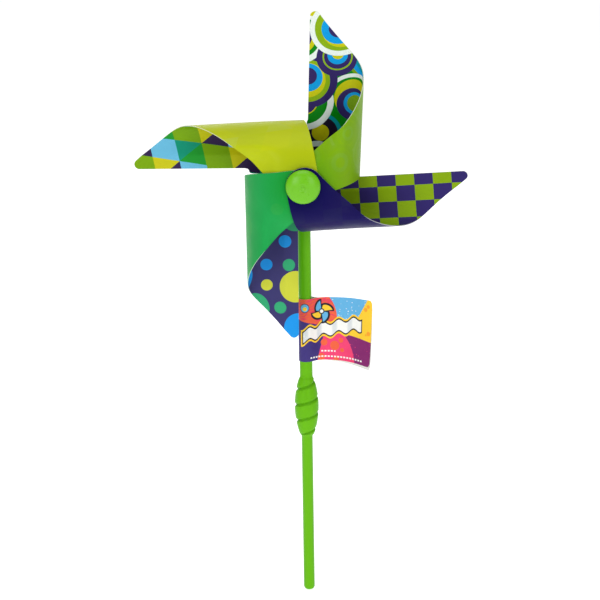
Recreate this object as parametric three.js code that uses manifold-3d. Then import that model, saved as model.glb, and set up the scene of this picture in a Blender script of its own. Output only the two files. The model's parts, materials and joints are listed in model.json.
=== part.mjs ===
// A toy pinwheel: four curled plastic blades on a pin through the head of a moulded stick.
// Millimetres. Origin at the stick's bottom end, +Z up the stick, the wheel faces -Y.

import * as THREE from 'three';
import { mergeVertices } from 'three/addons/utils/BufferGeometryUtils.js';
import Module from 'manifold-3d';

const wasm = await Module();
wasm.setup();

// ---- driving dimensions ----
const GAP = 0.3; // air between touching pieces

// stick
const HUB_HEIGHT = 316; // wheel axis above the stick's end
const ROD_RADIUS = 4.55; // rod above the grip
const LOWER_ROD_RADIUS = 3.95; // rod below the grip
const END_FLAT_RADIUS = 1.2;
const BOSS_RADIUS = 6.5;
const BOSS_HALF_LENGTH = 7;
const GRIP_BOTTOM = 120.5;
const GRIP_TOP = 163.3;
const GRIP_END_RADIUS = 4.9;
const GRIP_SWELL = 3.75;
const GRIP_SHAPE = 0.75; // below 1 makes the barrel fuller
const GRIP_LEAD = 1; // short cones between the rods and the grip
const GROOVE_PITCH = 11.8;
const GROOVE_START = 125.2; // the groove passes the stick's right side at this height
const GROOVE_DEPTH = 1.1;
const GROOVE_WIDTH = 3.6;
const GROOVE_FADE = 0.04; // share of the grip over which the groove fades at each end

// axle
const PIN_RADIUS = 1;
const PIN_TIP_DEPTH = 1.4; // how far the pin's end stays below the cap's inside
const BORE_RADIUS = PIN_RADIUS + GAP;
const WASHER_RADIUS = 4;
const WASHER_THICKNESS = 1.5;
const FLANGE_RADIUS = 8;
const FLANGE_THICKNESS = 2;
const SPACER_RADIUS = 3.2;
const TIP_WASHER_THICKNESS = 1;
const TIP_WASHER_RADIUS = 7;
const CAP_RADIUS = 12;
const CAP_SKIRT = 0.5; // straight rim below the dome
const CAP_DOME = 5.2;
const CAP_WALL = 1.1;
const CAP_NUB_RADIUS = 0.9;
const CAP_NUB_HEIGHT = 0.4;
const CAP_NUB_FLARE = 0.3;
const CAP_SOCKET_RADIUS = 3.2;
const REAR_CAP_RADIUS = 6.2;
const REAR_CAP_LENGTH = 5;
const REAR_CAP_EDGE = 1;
const REAR_CAP_FLOOR = 1.5; // solid plastic behind the pin's end

// blades, flat: u runs along the long straight edge, q across the sheet from hub hole to tip hole
const SHEET = 0.5;
const STACK_PITCH = SHEET + GAP;
const EYE_RADIUS = 13.6; // round end about the hub hole
const TIP_EYE_RADIUS = 13.2; // round end about the tip hole, ...
const TIP_EYE_SHIFT = 1.2; // ... whose centre lies a little outwards from the hole
const HOLE_RADIUS = BORE_RADIUS + 0.1;
const LOBE_REACH = 38; // the sheet can be a little wider up to here
const LOBE_ROUND = 3; // how far along its edge the lobe's corner is rounded
const LOBE_STEP = 4; // how far along the long edge the step back takes
const EDGE_SLOPE = 0.3; // the long edges run very slightly out of true
const END_EDGE_START = 40; // from here the end edge curves out to the tip's round end
const END_EDGE_CLEARANCE = 1; // keeps the root of one sheet off the curl of the next
const END_TRIM = 0.5; // the round ends are cut this much short
const CURL_STEPS = 28;
const CLOSEST_STATIONS = 0.2;
const BLADE_COLUMNS = 8;

// blades, curled: v runs across the curl, w forward from the root sheet
const FLAT_REACH = 14;
const CURL_HEIGHT = 39; // from a sheet's root to its tip
const CURL_BACK_PULL = 41;
const CURL_FRONT_PULL = 23.5;
const CURL_SAG = 14;
const LEAN = Math.tan(THREE.MathUtils.degToRad(6)); // the outer end leans forward
const LEAN_BLEND = 30;
const TIP_DROOP = 12; // how far the flap beside the tip can bend back under its neighbour
const TIP_DROOP_RATE = 0.046;
const DROOP_FADE_END = 28;
const FLARE_CENTRE = 45; // each curl widens or narrows outwards from here ...
const FLARE_RUN = 30; // ... by its flare for each of these

// flag label
const LABEL_BOTTOM = 176.2;
const LABEL_TOP = 222.8;
const LABEL_REACH = 48;
const LABEL_LAYER = 0.35;
const LABEL_CORNER = 2.5;
const LABEL_BEND = 11; // how far forward the free lower corner bends ...
const LABEL_BEND_SIDEWAYS = 0.25; // ... and the share of that by which it moves towards the stick
const LABEL_MESH = 7; // longest edge of the bent label's facets
const LABEL_CURL = [
	new THREE.Vector2( 4.9, 0 ),
	new THREE.Vector2( 16, 1.6 ),
	new THREE.Vector2( 32, - 1.4 ),
	new THREE.Vector2( LABEL_REACH, - 11 ),
];

const ROUND = 28; // segments round the small turned pieces

// ---- materials ----
function plastic( color, roughness = 0.4 ) {

	return new THREE.MeshStandardMaterial( { color, roughness, metalness: 0 } );

}

// ---- helpers ----
function positionsOnly( geometry ) {

	const bare = geometry.clone();
	bare.deleteAttribute( 'normal' );
	bare.deleteAttribute( 'uv' );
	return mergeVertices( bare, 1e-4 );

}

function toSolid( geometry ) {

	const merged = positionsOnly( geometry );
	return new wasm.Manifold( new wasm.Mesh( {
		numProp: 3,
		vertProperties: new Float32Array( merged.attributes.position.array ),
		triVerts: new Uint32Array( merged.index.array ),
	} ) );

}

function toGeometry( solid ) {

	const mesh = solid.getMesh();
	const geometry = new THREE.BufferGeometry();
	const positions = new Float32Array( mesh.vertProperties );
	geometry.setAttribute( 'position', new THREE.BufferAttribute( positions, 3 ) );
	geometry.setIndex( new THREE.BufferAttribute( new Uint32Array( mesh.triVerts ), 1 ) );
	geometry.computeVertexNormals();
	return geometry;

}

function named( name, geometry, material ) {

	const mesh = new THREE.Mesh( geometry, material );
	mesh.name = name;
	return mesh;

}

// A turned piece whose profile is [radius, forward] pairs; forward is towards -Y.
function turnedForward( profile, segments = ROUND ) {

	const points = profile.map( ( [ radius, forward ] ) => new THREE.Vector2( radius, forward ) );
	const geometry = new THREE.LatheGeometry( points, segments );
	return geometry.rotateX( Math.PI ); // the lathe's +Y becomes -Y

}

// A plain ring round the pin.
function ring( outer, back, front ) {

	const inner = BORE_RADIUS;
	const corners = [ [ inner, back ], [ outer, back ], [ outer, front ], [ inner, front ] ];
	return turnedForward( [ ...corners, corners[ 0 ] ] );

}

// ---- where the pieces stand along the axle, forward from the stick's axis ----
const washerBack = BOSS_HALF_LENGTH + GAP;
const washerFront = washerBack + WASHER_THICKNESS;
const flangeBack = washerFront + GAP;
const flangeFront = flangeBack + FLANGE_THICKNESS;
const firstSheet = flangeFront + GAP + SHEET / 2; // middle of the rearmost root sheet
const stackDepth = 3 * STACK_PITCH;
const spacerBack = firstSheet + stackDepth + SHEET / 2 + GAP;
const firstTip = firstSheet + CURL_HEIGHT;
const tipWasherFront = firstTip - SHEET / 2 - GAP;
const tipWasherBack = tipWasherFront - TIP_WASHER_THICKNESS;
const spacerFront = tipWasherBack - GAP;
const capBack = firstTip + stackDepth + SHEET / 2 + GAP;
const capTop = capBack + CAP_SKIRT + CAP_DOME;
const pinFront = capTop - CAP_WALL - PIN_TIP_DEPTH;
const rearCapFront = - BOSS_HALF_LENGTH - GAP;
const rearCapBack = rearCapFront - REAR_CAP_LENGTH;
const pinBack = rearCapBack + REAR_CAP_FLOOR;

// ---- stick ----
function gripRadius( height ) {

	const along = ( height - GRIP_BOTTOM ) / ( GRIP_TOP - GRIP_BOTTOM );
	return GRIP_END_RADIUS + GRIP_SWELL * Math.pow( Math.max( Math.sin( Math.PI * along ), 0 ), GRIP_SHAPE );

}

// A single right-handed groove winds up the grip; it fades out at both ends.
function grooveDepth( height, angle ) {

	const turns = ( height - GROOVE_START ) / GROOVE_PITCH - angle / ( 2 * Math.PI );
	const off = Math.abs( turns - Math.round( turns ) ) * GROOVE_PITCH; // from the groove's middle
	const share = Math.max( 1 - off / ( GROOVE_WIDTH / 2 ), 0 ); // 1 in the groove's middle
	const along = ( height - GRIP_BOTTOM ) / ( GRIP_TOP - GRIP_BOTTOM );
	const fade = THREE.MathUtils.smoothstep( Math.min( along, 1 - along ), 0, GROOVE_FADE );
	return GROOVE_DEPTH * fade * share;

}

function stick() {

	const profile = [ new THREE.Vector2( 0, 0 ), new THREE.Vector2( END_FLAT_RADIUS, 0 ) ];
	const roundSteps = 5;
	const roundWidth = LOWER_ROD_RADIUS - END_FLAT_RADIUS;
	for ( let i = 1; i <= roundSteps; i ++ ) {

		const angle = i / roundSteps * Math.PI / 2;
		profile.push( new THREE.Vector2(
			END_FLAT_RADIUS + roundWidth * Math.sin( angle ),
			roundWidth * ( 1 - Math.cos( angle ) ),
		) );

	}

	profile.push( new THREE.Vector2( LOWER_ROD_RADIUS, GRIP_BOTTOM - GRIP_LEAD ) );
	const gripSteps = 44;
	for ( let i = 0; i <= gripSteps; i ++ ) {

		const height = THREE.MathUtils.lerp( GRIP_BOTTOM, GRIP_TOP, i / gripSteps );
		profile.push( new THREE.Vector2( gripRadius( height ), height ) );

	}

	profile.push( new THREE.Vector2( ROD_RADIUS, GRIP_TOP + GRIP_LEAD ) );
	profile.push( new THREE.Vector2( ROD_RADIUS, HUB_HEIGHT ) );
	profile.push( new THREE.Vector2( 0, HUB_HEIGHT ) );

	const rod = new THREE.LatheGeometry( profile, ROUND ).rotateX( Math.PI / 2 ); // +Y becomes +Z
	const position = rod.attributes.position;
	for ( let i = 0; i < position.count; i ++ ) {

		const height = position.getZ( i );
		if ( height < GRIP_BOTTOM || height > GRIP_TOP ) continue;
		const radius = Math.hypot( position.getX( i ), position.getY( i ) );
		const angle = Math.atan2( position.getY( i ), position.getX( i ) );
		const scale = ( radius - grooveDepth( height, angle ) ) / radius;
		position.setXY( i, position.getX( i ) * scale, position.getY( i ) * scale );

	}

	const boss = new THREE.CylinderGeometry( BOSS_RADIUS, BOSS_RADIUS, 2 * BOSS_HALF_LENGTH, ROUND );
	boss.translate( 0, 0, HUB_HEIGHT );
	const bore = new THREE.CylinderGeometry( BORE_RADIUS, BORE_RADIUS, 4 * BOSS_HALF_LENGTH, ROUND );
	bore.translate( 0, 0, HUB_HEIGHT );
	const solid = toSolid( rod ).add( toSolid( boss ) ).subtract( toSolid( bore ) );
	return named( 'stick', toGeometry( solid ), plastic( 0x6ab822, 0.38 ) );

}

// ---- axle pieces ----
function frontCap() {

	const dome = [];
	const inside = [];
	const steps = 7;
	for ( let i = 0; i <= steps; i ++ ) {

		const angle = i / steps * Math.PI / 2;
		dome.push( [ CAP_RADIUS * Math.cos( angle ), CAP_SKIRT + CAP_DOME * Math.sin( angle ) ] );
		inside.push( [
			( CAP_RADIUS - CAP_WALL ) * Math.cos( angle ),
			CAP_SKIRT + ( CAP_DOME - CAP_WALL ) * Math.sin( angle ),
		] );

	}

	const nubTop = CAP_SKIRT + CAP_DOME + CAP_NUB_HEIGHT;
	const insideUntilSocket = inside.filter( ( [ radius ] ) => radius > CAP_SOCKET_RADIUS + CAP_WALL / 2 );
	const socketTop = insideUntilSocket[ insideUntilSocket.length - 1 ][ 1 ];
	const boreTop = pinFront + GAP - capBack;
	const profile = [
		[ 0, boreTop ],
		[ BORE_RADIUS, boreTop ],
		[ BORE_RADIUS, 0 ],
		[ CAP_SOCKET_RADIUS, 0 ],
		[ CAP_SOCKET_RADIUS, socketTop ],
		...insideUntilSocket.reverse(),
		[ CAP_RADIUS - CAP_WALL, 0 ],
		[ CAP_RADIUS, 0 ],
		...dome.filter( ( [ radius ] ) => radius > CAP_NUB_RADIUS + CAP_NUB_FLARE ),
		[ CAP_NUB_RADIUS + CAP_NUB_FLARE, CAP_SKIRT + CAP_DOME ],
		[ CAP_NUB_RADIUS, nubTop ],
		[ 0, nubTop ],
	];
	const placed = profile.map( ( [ radius, forward ] ) => [ radius, capBack + forward ] );
	return named( 'front_cap', turnedForward( placed, 36 ), plastic( 0x7ed732, 0.3 ) );

}

function rearCap() {

	const profile = [
		[ 0, rearCapBack ],
		[ REAR_CAP_RADIUS - REAR_CAP_EDGE, rearCapBack ],
		[ REAR_CAP_RADIUS, rearCapBack + REAR_CAP_EDGE ],
		[ REAR_CAP_RADIUS, rearCapFront ],
		[ BORE_RADIUS, rearCapFront ],
		[ BORE_RADIUS, pinBack - GAP ],
		[ 0, pinBack - GAP ],
	];
	return named( 'rear_cap', turnedForward( profile ), plastic( 0x7ed732, 0.3 ) );

}

function axlePin() {

	const profile = [ [ 0, pinBack ], [ PIN_RADIUS, pinBack ], [ PIN_RADIUS, pinFront ], [ 0, pinFront ] ];
	return named( 'axle_pin', turnedForward( profile ), plastic( 0x6ab822, 0.4 ) );

}

function axleRings() {

	return [
		named( 'thrust_washer', ring( WASHER_RADIUS, washerBack, washerFront ), plastic( 0xe9ece6 ) ),
		named( 'rear_flange', ring( FLANGE_RADIUS, flangeBack, flangeFront ), plastic( 0x6ab822 ) ),
		named( 'hub_spacer', ring( SPACER_RADIUS, spacerBack, spacerFront ), plastic( 0x6ab822 ) ),
		named( 'tip_washer', ring( TIP_WASHER_RADIUS, tipWasherBack, tipWasherFront ), plastic( 0xe9ece6 ) ),
	];

}

// ---- blades ----
// The curl's section: a flat root, one free curve, and a flat tip above the root.
function curlSection() {

	const section = new THREE.CurvePath();
	section.add( new THREE.LineCurve(
		new THREE.Vector2( - EYE_RADIUS, 0 ),
		new THREE.Vector2( FLAT_REACH, 0 ),
	) );
	section.add( new THREE.CubicBezierCurve(
		new THREE.Vector2( FLAT_REACH, 0 ),
		new THREE.Vector2( FLAT_REACH + CURL_BACK_PULL, - CURL_SAG ),
		new THREE.Vector2( FLAT_REACH + CURL_FRONT_PULL, CURL_HEIGHT ),
		new THREE.Vector2( FLAT_REACH, CURL_HEIGHT ),
	) );
	section.add( new THREE.LineCurve(
		new THREE.Vector2( FLAT_REACH, CURL_HEIGHT ),
		new THREE.Vector2( - EYE_RADIUS, CURL_HEIGHT ),
	) );
	return section;

}

// The flat sheet's outline, as points of a closed path in (u, q); the tip's hole is at q = tipHole.
function sheetOutline( tipHole, { longEdge, lobeEdge, pointReach, pointRadius, hollow, endPull } ) {

	// where the straight line that touches both round ends leaves them
	const pointCentre = longEdge + pointRadius;
	const inwards = pointReach - TIP_EYE_SHIFT;
	const apart = Math.hypot( inwards, tipHole - pointCentre );
	const towardsTip = Math.atan2( tipHole - pointCentre, - inwards );
	const outward = towardsTip - Math.acos( ( pointRadius - TIP_EYE_RADIUS ) / apart );
	const onPoint = new THREE.Vector2( Math.cos( outward ), Math.sin( outward ) )
		.multiplyScalar( pointRadius ).add( new THREE.Vector2( pointReach, pointCentre ) );
	const onTip = new THREE.Vector2( Math.cos( outward ), Math.sin( outward ) )
		.multiplyScalar( TIP_EYE_RADIUS ).add( new THREE.Vector2( TIP_EYE_SHIFT, tipHole ) );
	const middle = onPoint.clone().lerp( onTip, 0.5 );

	const outline = new THREE.Path();
	outline.absarc( 0, 0, EYE_RADIUS, Math.PI / 2, 2 * Math.PI, false );
	const longEdgeStart = longEdge - EDGE_SLOPE;
	const stepMiddle = ( lobeEdge + longEdgeStart ) / 2;
	outline.lineTo( LOBE_REACH - LOBE_ROUND, lobeEdge );
	outline.quadraticCurveTo( LOBE_REACH, lobeEdge, LOBE_REACH, stepMiddle );
	outline.quadraticCurveTo( LOBE_REACH, longEdgeStart, LOBE_REACH + LOBE_STEP, longEdgeStart );
	outline.lineTo( pointReach, longEdge );
	outline.absarc( pointReach, pointCentre, pointRadius, - Math.PI / 2, outward, false );
	outline.quadraticCurveTo(
		middle.x - 2 * hollow * Math.cos( outward ),
		middle.y - 2 * hollow * Math.sin( outward ),
		onTip.x, onTip.y,
	);
	outline.absarc( TIP_EYE_SHIFT, tipHole, TIP_EYE_RADIUS, outward, Math.PI, false );
	outline.quadraticCurveTo( ...endPull, END_EDGE_CLEARANCE, END_EDGE_START );
	outline.lineTo( END_EDGE_CLEARANCE, EYE_RADIUS );
	return outline.getPoints( 4 );

}

// The stretch of u that the flat sheet covers at one q.
function spanAt( outline, q ) {

	const crossings = [];
	for ( let i = 0; i < outline.length; i ++ ) {

		const a = outline[ i ];
		const b = outline[ ( i + 1 ) % outline.length ];
		if ( Math.min( a.y, b.y ) > q || Math.max( a.y, b.y ) < q || a.y === b.y ) continue;
		crossings.push( a.x + ( b.x - a.x ) * ( q - a.y ) / ( b.y - a.y ) );

	}

	return [ Math.min( ...crossings ), Math.max( ...crossings ) ];

}

// The stations across the sheet: every corner of the outline, and close steps round the curl.
function stations( outline, tipHole ) {

	const low = END_TRIM - EYE_RADIUS;
	const high = tipHole + TIP_EYE_RADIUS - END_TRIM;
	const all = outline.map( ( point ) => point.y );
	for ( let i = 0; i <= CURL_STEPS; i ++ ) {

		all.push( THREE.MathUtils.lerp( FLAT_REACH, tipHole, i / CURL_STEPS ) );

	}

	const sorted = [ low, high, ...all.filter( ( q ) => q > low && q < high ) ].sort( ( a, b ) => a - b );
	const last = sorted.length - 1;
	return sorted.filter( ( q, i ) => i === 0 || i === last || q - sorted[ i - 1 ] > CLOSEST_STATIONS );

}

// The middle surface of the curled sheet: u up, v right, w forward (-Y).
function curledSurface( fullness, flare ) {

	const section = curlSection();
	const sectionLength = section.getLength();

	const point = ( u, q ) => {

		const at = section.getPoint( THREE.MathUtils.clamp( ( q + EYE_RADIUS ) / sectionLength, 0, 1 ) );
		const past = Math.max( u - FLAT_REACH, 0 );
		const leanRun = past < LEAN_BLEND ? past * past / ( 2 * LEAN_BLEND ) : past - LEAN_BLEND / 2;
		const onFlap = q > sectionLength / 2 ? 1 : 0;
		const beside = onFlap * ( 1 - THREE.MathUtils.smoothstep( at.x, FLAT_REACH, DROOP_FADE_END ) );
		const droop = beside * TIP_DROOP * ( 1 - Math.exp( - TIP_DROOP_RATE / TIP_DROOP * past * past ) );
		const wider = 1 + fullness + flare * ( u - FLARE_CENTRE ) / FLARE_RUN;
		const across = Math.min( at.x, FLAT_REACH ) + wider * Math.max( at.x - FLAT_REACH, 0 );
		return new THREE.Vector3( across, - ( at.y + LEAN * leanRun - droop ), u );

	};

	const normal = ( u, q ) => {

		const step = 0.05;
		const alongU = point( u + step, q ).sub( point( u - step, q ) );
		const alongQ = point( u, q + step ).sub( point( u, q - step ) );
		return alongU.cross( alongQ ).normalize();

	};

	return { point, normal, tipHole: sectionLength - 2 * EYE_RADIUS };

}

function bladeGeometry( cut ) {

	const surface = curledSurface( cut.fullness, cut.flare );
	const outline = sheetOutline( surface.tipHole, cut );
	const rows = stations( outline, surface.tipHole );
	const front = [];
	const back = [];
	for ( const q of rows ) {

		const [ low, high ] = spanAt( outline, q );
		for ( let j = 0; j <= BLADE_COLUMNS; j ++ ) {

			const u = THREE.MathUtils.lerp( low, high, j / BLADE_COLUMNS );
			const middle = surface.point( u, q );
			const half = surface.normal( u, q ).multiplyScalar( SHEET / 2 );
			front.push( middle.clone().add( half ) );
			back.push( middle.clone().sub( half ) );

		}

	}

	const count = front.length;
	const lastRow = rows.length - 1;
	const index = [];
	const quad = ( a, b, c, d ) => index.push( a, b, c, a, c, d );
	const at = ( i, j ) => i * ( BLADE_COLUMNS + 1 ) + j;
	const rim = [];
	for ( let i = 0; i < lastRow; i ++ ) {

		for ( let j = 0; j < BLADE_COLUMNS; j ++ ) {

			const corners = [ at( i, j ), at( i, j + 1 ), at( i + 1, j + 1 ), at( i + 1, j ) ];
			quad( ...corners );
			quad( ...corners.reverse().map( ( corner ) => count + corner ) );

		}

	}

	for ( let j = 0; j < BLADE_COLUMNS; j ++ ) rim.push( at( 0, j ) );
	for ( let i = 0; i < lastRow; i ++ ) rim.push( at( i, BLADE_COLUMNS ) );
	for ( let j = BLADE_COLUMNS; j > 0; j -- ) rim.push( at( lastRow, j ) );
	for ( let i = lastRow; i > 0; i -- ) rim.push( at( i, 0 ) );
	rim.forEach( ( here, i ) => {

		const next = rim[ ( i + 1 ) % rim.length ];
		quad( here, count + here, count + next, next );

	} );

	const geometry = new THREE.BufferGeometry().setFromPoints( [ ...front, ...back ] );
	geometry.setIndex( index );

	// one hole runs through both round ends, because the curl brings them in line
	const hole = new THREE.CylinderGeometry( HOLE_RADIUS, HOLE_RADIUS, 3 * CURL_HEIGHT, 20 );
	return toGeometry( toSolid( geometry ).subtract( toSolid( hole ) ) );

}

// Each blade is about a quarter turn on from the last, give or take how it was pinned. They are
// threaded on the pin in this order, first the roots and then the tips, so the last tip is on top.
// longEdge is how far the long edge lies off the hub line, and lobeEdge the same near the hub, where
// the sheet is wider. pointReach is from the hub to the centre of the outer point, hollow how far the
// outer edge is cut back from straight, and endPull where the end edge's curve is pulled to. fullness
// is how much wider than its section the curl has sprung, as a share, and flare how that grows
// outwards.
const BLADES = [
	{ name: 'blade_rings', turn: - 1.7, color: 0x87b928, longEdge: 3, lobeEdge: 1.8,
		pointReach: 113, pointRadius: 3.5, hollow: 5, endPull: [ 1, 80 ], fullness: 0.065, flare: 0.022 },
	{ name: 'blade_triangles', turn: 88.7, color: 0xb9c828, longEdge: 4.6, lobeEdge: 0.4,
		pointReach: 114.5, pointRadius: 3.5, hollow: 1, endPull: [ - 3, 57 ], fullness: - 0.02, flare: - 0.055 },
	{ name: 'blade_dots', turn: 180, color: 0x149b41, longEdge: 4.6, lobeEdge: 1.8,
		pointReach: 113, pointRadius: 3.5, hollow: 2, endPull: [ - 7.5, 57 ], fullness: 0.07, flare: - 0.01 },
	{ name: 'blade_checker', turn: 273.9, color: 0x282464, longEdge: 4.6, lobeEdge: 3.4,
		pointReach: 111.5, pointRadius: 3.2, hollow: 5, endPull: [ - 7.5, 57 ], fullness: - 0.015, flare: 0.012 },
];

function blades() {

	return BLADES.map( ( cut, place ) => {

		const blade = named( cut.name, bladeGeometry( cut ), plastic( cut.color, 0.35 ) );
		blade.position.y = - ( firstSheet + place * STACK_PITCH );
		blade.rotation.y = - THREE.MathUtils.degToRad( cut.turn );
		return blade;

	} );

}

// ---- label ----
// Folded round the stick and stuck to itself, it stands out like a flag.
function flagLabel() {

	const inner = ROD_RADIUS + GAP;
	const outer = inner + LABEL_LAYER;
	const curl = new THREE.SplineCurve( LABEL_CURL );
	const steps = 14;
	const sides = [ [], [] ];
	for ( let i = 1; i <= steps; i ++ ) {

		const point = curl.getPoint( i / steps );
		const along = curl.getTangent( i / steps );
		const across = new THREE.Vector2( - along.y, along.x ).multiplyScalar( LABEL_LAYER );
		sides[ 0 ].push( point.clone().add( across ) );
		sides[ 1 ].push( point.clone().sub( across ) );

	}

	const mouth = Math.asin( 2 * LABEL_LAYER / outer );
	const shape = new THREE.Shape();
	shape.absarc( 0, 0, outer, mouth, 2 * Math.PI - mouth, false );
	sides[ 1 ].forEach( ( point ) => shape.lineTo( point.x, point.y ) );
	sides[ 0 ].reverse().forEach( ( point ) => shape.lineTo( point.x, point.y ) );
	const eye = new THREE.Path().absarc( 0, 0, inner, 0, 2 * Math.PI, true );
	shape.holes.push( eye );
	const height = LABEL_TOP - LABEL_BOTTOM;
	const sheet = new THREE.ExtrudeGeometry( shape, {
		depth: height,
		bevelEnabled: false,
		curveSegments: 14,
	} );
	sheet.translate( 0, 0, LABEL_BOTTOM );

	// round the two free corners
	const frame = new THREE.Shape();
	const left = - 2 * outer;
	const right = LABEL_REACH + LABEL_LAYER / 2;
	frame.moveTo( left, 0 );
	frame.lineTo( right - LABEL_CORNER, 0 );
	frame.absarc( right - LABEL_CORNER, LABEL_CORNER, LABEL_CORNER, - Math.PI / 2, 0, false );
	frame.absarc( right - LABEL_CORNER, height - LABEL_CORNER, LABEL_CORNER, 0, Math.PI / 2, false );
	frame.lineTo( left, height );
	const deep = LABEL_REACH; // more than the label curls
	const cutter = new THREE.ExtrudeGeometry( frame, {
		depth: deep,
		bevelEnabled: false,
		curveSegments: 4,
	} );
	cutter.rotateX( Math.PI / 2 );
	cutter.translate( 0, deep / 2, LABEL_BOTTOM );
	const flag = toSolid( sheet ).intersect( toSolid( cutter ) );

	// the free lower corner bends forward
	const bent = flag.refineToLength( LABEL_MESH ).warp( ( place ) => {

		const out = Math.max( place[ 0 ] - outer, 0 ) / ( LABEL_REACH - outer );
		const down = Math.max( LABEL_TOP - place[ 2 ], 0 ) / height;
		const bend = LABEL_BEND * Math.pow( out, 2 ) * Math.pow( down, 1.5 );
		place[ 0 ] -= LABEL_BEND_SIDEWAYS * bend;
		place[ 1 ] -= bend;

	} );
	return named( 'flag_label', toGeometry( bent ), plastic( 0xe2574c, 0.5 ) );

}

// ---- the pinwheel ----
const wheel = new THREE.Group();
wheel.position.z = HUB_HEIGHT;
wheel.add( axlePin(), frontCap(), rearCap(), ...axleRings(), ...blades() );

const pinwheel = new THREE.Group();
pinwheel.add( stick(), flagLabel(), wheel );

export default pinwheel;
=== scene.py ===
"""The looks of a toy pinwheel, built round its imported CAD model.

Lengths are in millimetres, but for the lights and the floor, until they reach a mesh. That is in
metres in the model's own frame: origin at the stick's bottom end, +Z up the stick, the wheel facing -Y.
"""

import json
import math
from bisect import bisect_left
from collections import namedtuple

import bmesh
import bpy
from mathutils import Matrix, Vector


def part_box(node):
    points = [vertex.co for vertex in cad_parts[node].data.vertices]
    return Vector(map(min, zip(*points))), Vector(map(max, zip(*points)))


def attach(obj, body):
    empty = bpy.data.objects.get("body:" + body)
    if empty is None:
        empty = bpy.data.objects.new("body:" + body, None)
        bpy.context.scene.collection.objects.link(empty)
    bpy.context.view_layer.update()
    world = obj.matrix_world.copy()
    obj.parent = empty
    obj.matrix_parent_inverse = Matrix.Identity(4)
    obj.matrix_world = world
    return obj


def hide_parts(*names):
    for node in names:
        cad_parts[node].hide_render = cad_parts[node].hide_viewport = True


MM = 0.001  # metres in a millimetre

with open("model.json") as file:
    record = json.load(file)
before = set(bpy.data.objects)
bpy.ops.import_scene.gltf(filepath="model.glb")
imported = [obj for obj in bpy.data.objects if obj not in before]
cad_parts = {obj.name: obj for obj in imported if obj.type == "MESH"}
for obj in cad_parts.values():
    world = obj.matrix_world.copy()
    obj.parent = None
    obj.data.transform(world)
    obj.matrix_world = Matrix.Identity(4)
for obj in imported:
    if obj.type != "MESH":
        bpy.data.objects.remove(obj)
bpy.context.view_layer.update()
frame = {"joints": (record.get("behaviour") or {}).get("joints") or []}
hub_height = frame["joints"][0]["pos_m"][2] / MM


def node_box(node):
    """A CAD node's lowest and highest corner, in millimetres."""
    low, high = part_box(node)
    return low / MM, high / MM


# ======== camera and lights

VIEW_ELEVATION = 15.0  # degrees, as the next two
VIEW_AZIMUTH = 0.5
VIEW_ROLL = 0.88
VIEW_DISTANCE = 1758.0
VIEW_LENS = 150.0
VIEW_END = 100.0  # metres
SENSOR = 36.0
VIEW_SHIFT_RIGHT = -2.25  # from the hub to the middle of the picture
VIEW_SHIFT_UP = -88.6
WHEEL_FORWARD = 11.65  # the blades' roots, forward of the stick's axis

AROUND = 0.32  # the strength of the white surroundings
LIT_PLACE = (0, 0, 0.25)  # metres
# each soft box: its place, width and height in metres, and its power in watts
SOFT_BOXES = {
    "left": ((-0.8, -1.5, 0.85), 0.8, 0.9, 8.5),
    "right": ((0.85, -1.45, 0.8), 0.6, 0.9, 6),
    "top": ((0, -0.3, 1.9), 1.4, 1.4, 13),
    "back": ((-0.5, 1.2, 1.0), 1.0, 1.0, 8),
}


def link(name, data):
    """An object for a mesh, a light or a camera, in the scene."""
    thing = bpy.data.objects.new(name, data)
    bpy.context.scene.collection.objects.link(thing)
    return thing


def make_camera():
    """In front of the hub, above it and a little to the right, and slightly rolled."""
    turn = Matrix.Rotation(math.radians(VIEW_AZIMUTH), 4, "Z")
    turn @= Matrix.Rotation(math.radians(90 - VIEW_ELEVATION), 4, "X")
    turn @= Matrix.Rotation(math.radians(-VIEW_ROLL), 4, "Z")
    hub = Vector((0, -WHEEL_FORWARD, hub_height))
    place = hub + turn @ Vector((VIEW_SHIFT_RIGHT, VIEW_SHIFT_UP, VIEW_DISTANCE))
    data = bpy.data.cameras.new("camera")
    data.lens = VIEW_LENS
    data.sensor_width = SENSOR
    data.clip_end = VIEW_END
    camera = link("camera", data)
    camera.matrix_world = Matrix.Translation(place * MM) @ turn
    bpy.context.scene.camera = camera


def soft_box(name, place, width, height, power):
    """A rectangular light that faces the pinwheel."""
    data = bpy.data.lights.new(name, "AREA")
    data.shape = "RECTANGLE"
    data.size = width
    data.size_y = height
    data.energy = power
    light = link(name, data)
    light.location = place
    light.rotation_mode = "QUATERNION"
    light.rotation_quaternion = (Vector(LIT_PLACE) - Vector(place)).to_track_quat("-Z", "Y")


def make_studio():
    """White surroundings and the soft boxes."""
    scene = bpy.context.scene
    scene.view_settings.view_transform = "Standard"
    world = bpy.data.worlds.new("studio")
    world.use_nodes = True
    background = world.node_tree.nodes["Background"]
    background.inputs["Color"].default_value = (1, 1, 1, 1)
    background.inputs["Strength"].default_value = AROUND
    scene.world = world
    for name, facts in SOFT_BOXES.items():
        soft_box(name, *facts)


# ======== node helpers


def linear(red, green, blue):
    """A colour given as 0 to 255 in sRGB, as the linear values that shaders take."""
    def one(value):
        share = value / 255
        return share / 12.92 if share <= 0.04045 else ((share + 0.055) / 1.055) ** 2.4
    return (one(red), one(green), one(blue), 1.0)


def plug(tree, socket, value):
    """Links a field or an output socket to an input socket, or sets it to a number or a colour."""
    if isinstance(value, Field):
        tree.links.new(value.socket, socket)
    elif isinstance(value, bpy.types.NodeSocket):
        tree.links.new(value, socket)
    else:
        socket.default_value = value


def add_node(tree, kind, inputs, **settings):
    """A new shader node. Its settings come first, because they can change which inputs it has."""
    node = tree.nodes.new("ShaderNode" + kind)
    for name, value in settings.items():
        setattr(node, name, value)
    for key, value in inputs.items():
        plug(tree, node.inputs[key], value)
    return node


PRINT_BLUR = 0.12  # across the edge of a printed patch, in millimetres


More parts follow.
